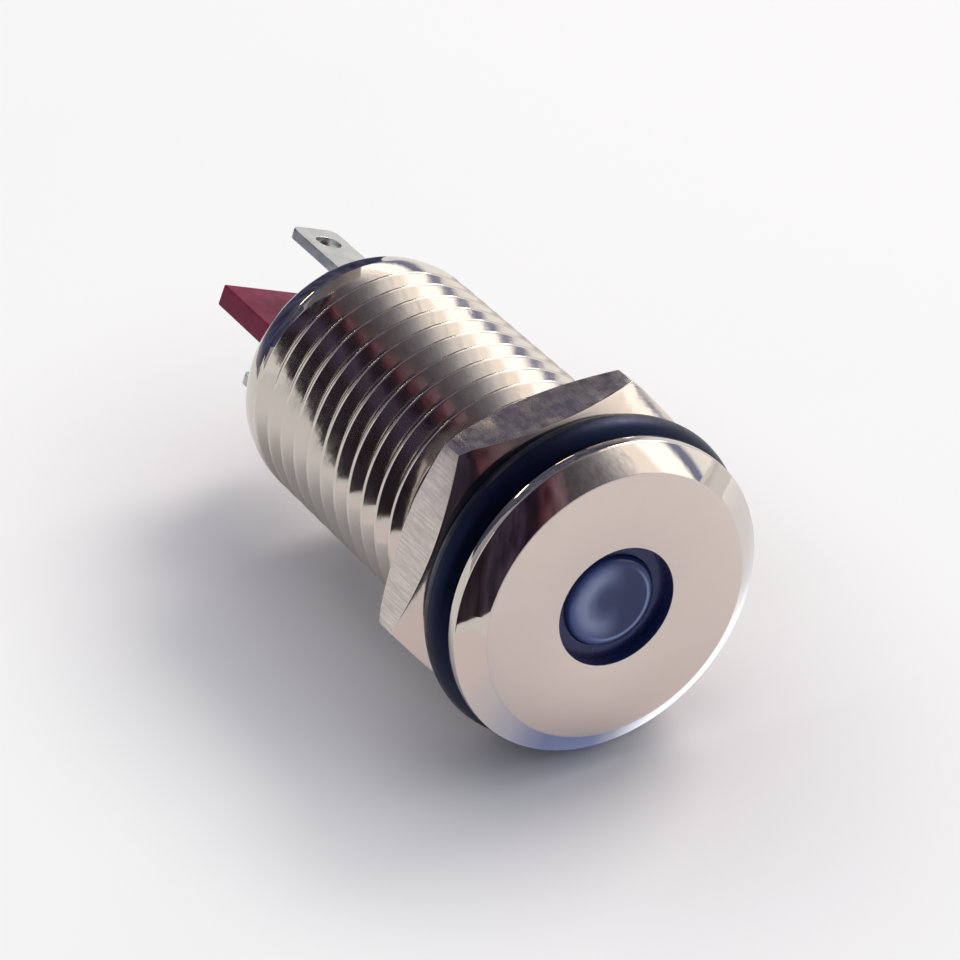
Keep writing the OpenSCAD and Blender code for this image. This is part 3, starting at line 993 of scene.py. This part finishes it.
world = bpy.data.worlds.new("studio")
bpy.context.scene.world = world
world.use_nodes = True
tree = world.node_tree
sky = add(
    tree, "Mix", {"data_type": "RGBA"}, links={"Factor": (seen(tree, 1.0), "Value")}
)
sky.inputs["A"].default_value = (0.35, 0.375, 0.45, 1)
sky.inputs["B"].default_value = (1, 1, 1, 1)
tree.links.new(sky.outputs["Result"], tree.nodes["Background"].inputs["Color"])


def gloss_only(card):
    """Leaves a card out of the camera's sight and out of the light on the floor."""
    card.visible_camera = False
    card.visible_diffuse = False
    card.visible_shadow = False


# Width in mm of the soft folds painted as light and shade into a card's glow
FOLD = 3.0


def card_surface(card, measure, tones, folds):
    """Glowing tones along a card: each is a degree or a height and a linear colour."""
    material, tree, shader, place = new_material(
        card.name + "_cloth", "#000000", 0.0, 1.0
    )
    low, high = tones[0][0], tones[-1][0]
    split = add(tree, "SeparateXYZ", links={"Vector": (place, "Object")})
    if measure == "angle":
        source = add(
            tree, "Math", {"operation": "ARCTAN2"},
            links={0: (split, "Y"), 1: (split, "X")},
        )
        output, scale = "Value", math.radians(1)
    else:
        source, output, scale = split, measure, MM
    span = add(
        tree, "MapRange", inputs={"From Min": low * scale, "From Max": high * scale},
        links={"Value": (source, output)},
    )
    ramp = add(tree, "ValToRGB", links={"Fac": (span, "Result")})
    for spot, tone in tones:
        share = (spot - low) / (high - low)
        if share in (0, 1):
            element = ramp.color_ramp.elements[-int(share)]
        else:
            element = ramp.color_ramp.elements.new(share)
        element.color = (*tone, 1)
    # Painted light and shade: soft folds brighten and darken the glow in patches
    creases = add(
        tree, "MapRange",
        inputs={
            "From Min": 0.35, "From Max": 0.65, "To Min": 1 - folds, "To Max": 1 + 2 * folds,
        },
        links={"Value": (noise(tree, place, FOLD, 3.0, stretch=(1, 1, 0.2)), "Fac")},
    )
    shaded = add(
        tree, "VectorMath", {"operation": "SCALE"},
        links={0: (ramp, "Color"), "Scale": (creases, "Result")},
    )
    tree.links.new(shaded.outputs["Vector"], shader.inputs["Emission Color"])
    shader.inputs["Emission Strength"].default_value = 1.0
    shader.inputs["Specular IOR Level"].default_value = 0.0
    card.data.materials.append(material)


def curved_card(name, middle_y, reach, turns, heights, measure, tones, folds=0.0):
    """A curved card round the light, between two angles from +X and two heights."""
    nothing_selected()
    bottom, top = heights
    bpy.ops.mesh.primitive_cylinder_add(
        vertices=180, radius=reach, depth=top - bottom, end_fill_type="NOTHING",
        location=(0, middle_y, (top + bottom) / 2),
    )
    card = bpy.context.object
    card.name = name
    bpy.ops.object.transform_apply(location=True, rotation=True, scale=True)
    bpy.ops.object.mode_set(mode="EDIT")
    bpy.ops.mesh.select_mode(type="FACE")
    bpy.ops.mesh.select_all(action="DESELECT")
    shape = bmesh.from_edit_mesh(card.data)
    for face in shape.faces:
        middle = face.calc_center_median()
        turn = math.degrees(math.atan2(middle.y - middle_y, middle.x))
        face.select = not turns[0] < turn < turns[1]
    bmesh.update_edit_mesh(card.data)
    bpy.ops.mesh.delete(type="FACE")
    bpy.ops.object.mode_set(mode="OBJECT")
    card_surface(card, measure, tones, folds)
    gloss_only(card)


curved_card(
    "front_card", 0, 0.03, (-152, -90), (floor_z, 0.07), "angle",
    [
        (-152, (0.03, 0.025, 0.04)), (-138, (0.02, 0.02, 0.03)), (-128, (0.04, 0.034, 0.055)),
        (-124, (0.045, 0.034, 0.058)), (-120, (0.06, 0.04, 0.075)), (-114, (0.022, 0.015, 0.027)),
        (-108, (0.026, 0.013, 0.021)), (-104, (0.08, 0.032, 0.042)), (-100, (0.14, 0.065, 0.085)),
        (-95, (0.15, 0.1, 0.115)), (-90, (0.11, 0.085, 0.1)),
    ],
    0.45,
)

curved_card(
    "far_card", 0, 0.15, (-93, -47), (0.008, 0.4), "angle",
    [
        (-93, (0.11, 0.085, 0.1)), (-86, (0.1, 0.085, 0.105)), (-80, (0.12, 0.11, 0.135)),
        (-73, (0.17, 0.165, 0.19)), (-67, (0.24, 0.24, 0.27)), (-62, (0.4, 0.4, 0.43)),
        (-57, (0.62, 0.61, 0.63)), (-53, (0.9, 0.85, 0.85)), (-47, (1.25, 1.15, 1.1)),
    ],
    0.15,
)

curved_card(
    "side_card", 0.01, 0.045, (40, 64), (0.008, 0.09), "Z",
    [
        (8, (0.6, 0.53, 0.5)), (17, (0.45, 0.38, 0.37)), (28, (0.3, 0.25, 0.26)),
        (34, (0.12, 0.13, 0.18)), (43, (0.09, 0.1, 0.15)), (90, (0.12, 0.12, 0.17)),
    ],
    0.15,
)

curved_card(
    "rear_card", 0.01, 0.045, (64, 124), (floor_z, 0.09), "Z",
    [
        (-7, (0.3, 0.3, 0.34)), (0, (0.06, 0.065, 0.12)), (12, (0.05, 0.055, 0.11)),
        (24, (0.09, 0.085, 0.12)), (34, (0.1, 0.11, 0.17)), (44, (0.1, 0.1, 0.15)),
        (90, (0.13, 0.14, 0.22)),
    ],
    0.35,
)

curved_card(
    "rear_left_card", 0.01, 0.045, (124, 136), (0.004, 0.09), "Z",
    [(4, (0.06, 0.065, 0.12)), (30, (0.07, 0.075, 0.13)), (90, (0.13, 0.14, 0.22))],
    0.35,
)

curved_card(
    "left_rear_card", 0.01, 0.045, (136, 179), (0.006, 0.09), "Z",
    [(6, (0.46, 0.43, 0.48)), (90, (0.34, 0.32, 0.38))],
    0.15,
)

# A bright window to the front right, with a blue frame in it
curved_card(
    "window", 0, 0.3, (-47, -6), (0.012, 0.62), "angle",
    [
        (-47, (1.5, 1.36, 1.26)), (-41, (1.5, 1.4, 1.3)), (-38, (2.1, 2.05, 2.0)),
        (-28, (2.0, 1.95, 1.9)), (-25, (0.3, 0.32, 0.5)), (-21.5, (0.3, 0.32, 0.5)),
        (-19, (1.3, 1.3, 1.3)), (-10, (1.46, 1.39, 1.36)), (-6, (1.35, 1.3, 1.3)),
    ],
)


def flat_card(name, low, high, tones, measure="X", folds=0.0):
    """A flat card seen in gloss only, between two corners in mm, with its tones."""
    nothing_selected()
    upright = low[0] == high[0]
    bpy.ops.mesh.primitive_plane_add(
        size=1, location=(0, 0, 0), rotation=(0, math.radians(90 if upright else 0), 0)
    )
    card = bpy.context.object
    card.name = name
    bpy.ops.object.transform_apply(location=True, rotation=True, scale=True)
    card.scale = [max(b - a, 1) * MM for a, b in zip(low, high)]
    card.location = [(a + b) / 2 * MM for a, b in zip(low, high)]
    bpy.ops.object.transform_apply(location=True, rotation=True, scale=True)
    card_surface(card, measure, tones, folds)
    gloss_only(card)


# A dark cloth stands along the left, and a grey ceiling hangs above
FLOOR = floor_z / MM + 0.1
flat_card(
    "left_card", (-19, -32, FLOOR), (-19, -4, 30),
    [
        (-32, (0.03, 0.018, 0.03)), (-26, (0.065, 0.045, 0.085)), (-21, (0.045, 0.035, 0.055)),
        (-15, (0.028, 0.02, 0.028)), (-4, (0.02, 0.018, 0.025)),
    ],
    "Y", 0.4,
)
flat_card(
    "ceiling", (-160, -60, 120), (45, 110, 120),
    [
        (-160, (0.22, 0.21, 0.26)), (-55, (0.18, 0.17, 0.2)), (0, (0.18, 0.165, 0.17)),
        (45, (0.45, 0.4, 0.39)),
    ],
)

# Glowing cards on the floor, seen in gloss only, paint the floor's light and shade as the lower
# part of the bevel mirrors it: painted pale light to the left, painted blue shade under the head,
# painted white light to the right
flat_card(
    "floor_left", (-16, -12, FLOOR), (-3.2, 0.5, FLOOR),
    [
        (-16, (0.93, 0.84, 0.86)), (-8.4, (0.9, 0.8, 0.83)), (-5.8, (0.72, 0.72, 0.8)),
        (-4, (0.52, 0.55, 0.7)), (-3.2, (0.36, 0.4, 0.62)),
    ],
)
flat_card(
    "floor_shade", (-3.2, -2.1, FLOOR), (0.5, 0.3, FLOOR),
    [
        (-3.2, (0.36, 0.4, 0.62)), (-2.3, (0.23, 0.28, 0.53)), (-0.4, (0.23, 0.28, 0.53)),
        (0.5, (0.45, 0.5, 0.64)),
    ],
)
flat_card(
    "floor_white", (0.5, -1.9, FLOOR), (14, 5, FLOOR),
    [
        (0.5, (0.45, 0.5, 0.64)), (1.4, (0.9, 0.97, 1.15)), (2.5, (1.4, 1.45, 1.7)),
        (6, (1.6, 1.7, 1.85)), (9, (1.4, 1.45, 1.6)), (12.3, (1.02, 1.06, 1.1)),
        (14, (1.0, 1.02, 1.08)),
    ],
)
flat_card(
    "floor_far", (14, -14, FLOOR), (60, 16, FLOOR),
    [(14, (1.0, 1.02, 1.08)), (30, (1.05, 1.05, 1.1)), (60, (1.3, 1.27, 1.3))],
)


def softbox(name, towards, distance, width, height, watts, colour):
    """A rectangular lamp that faces the middle of the light."""
    lamp = bpy.data.lights.new(name, "AREA")
    lamp.shape = "RECTANGLE"
    lamp.size = width
    lamp.size_y = height
    lamp.energy = watts
    lamp.color = linear(colour)[:3]
    holder = bpy.data.objects.new(name, lamp)
    bpy.context.collection.objects.link(holder)
    middle = Vector((0, 0.009, 0))
    direction = Vector(towards).normalized()
    holder.location = middle + direction * distance
    holder.rotation_euler = (-direction).to_track_quat("-Z", "Y").to_euler()
    holder.visible_camera = False


softbox("key_lamp", (0.75, 0.3, 0.75), 0.3, 0.14, 0.14, 0.52, "#fff6ee")
softbox("overhead", (0.0, 0.0, 1.0), 0.3, 0.2, 0.2, 0.12, "#fffaf4")
softbox("rear_strip_left", (-0.25, 0.78, 0.57), 0.04, 0.007, 0.002, 0.00035, "#fff2c8")
softbox("rear_strip_right", (0.19, 0.78, 0.6), 0.04, 0.006, 0.0015, 0.0001, "#fff2c8")

# Camera: a long lens, above and to the left of the head
CAMERA_AZIMUTH = math.radians(-29.864)
CAMERA_HEIGHT = math.radians(31.594)
CAMERA_ASIDE = -4.098
CAMERA_UP = 3.821
CAMERA_BACK = 151.709
back = Vector((
    math.sin(CAMERA_AZIMUTH) * math.cos(CAMERA_HEIGHT),
    -math.cos(CAMERA_AZIMUTH) * math.cos(CAMERA_HEIGHT),
    math.sin(CAMERA_HEIGHT),
))
right = Vector((math.cos(CAMERA_AZIMUTH), math.sin(CAMERA_AZIMUTH), 0))
up = back.cross(right)
camera_data = bpy.data.cameras.new("camera")
camera_data.sensor_width = 36
camera_data.lens = 166.4
camera_data.clip_start = 0.001
camera_data.clip_end = 10
camera = bpy.data.objects.new("camera", camera_data)
bpy.context.collection.objects.link(camera)
camera.location = (right * CAMERA_ASIDE + up * CAMERA_UP + back * CAMERA_BACK) * MM
camera.rotation_mode = "QUATERNION"
camera.rotation_quaternion = (-back).to_track_quat("-Z", "Y")
bpy.context.scene.camera = camera
bpy.context.scene.view_settings.view_transform = "Standard"
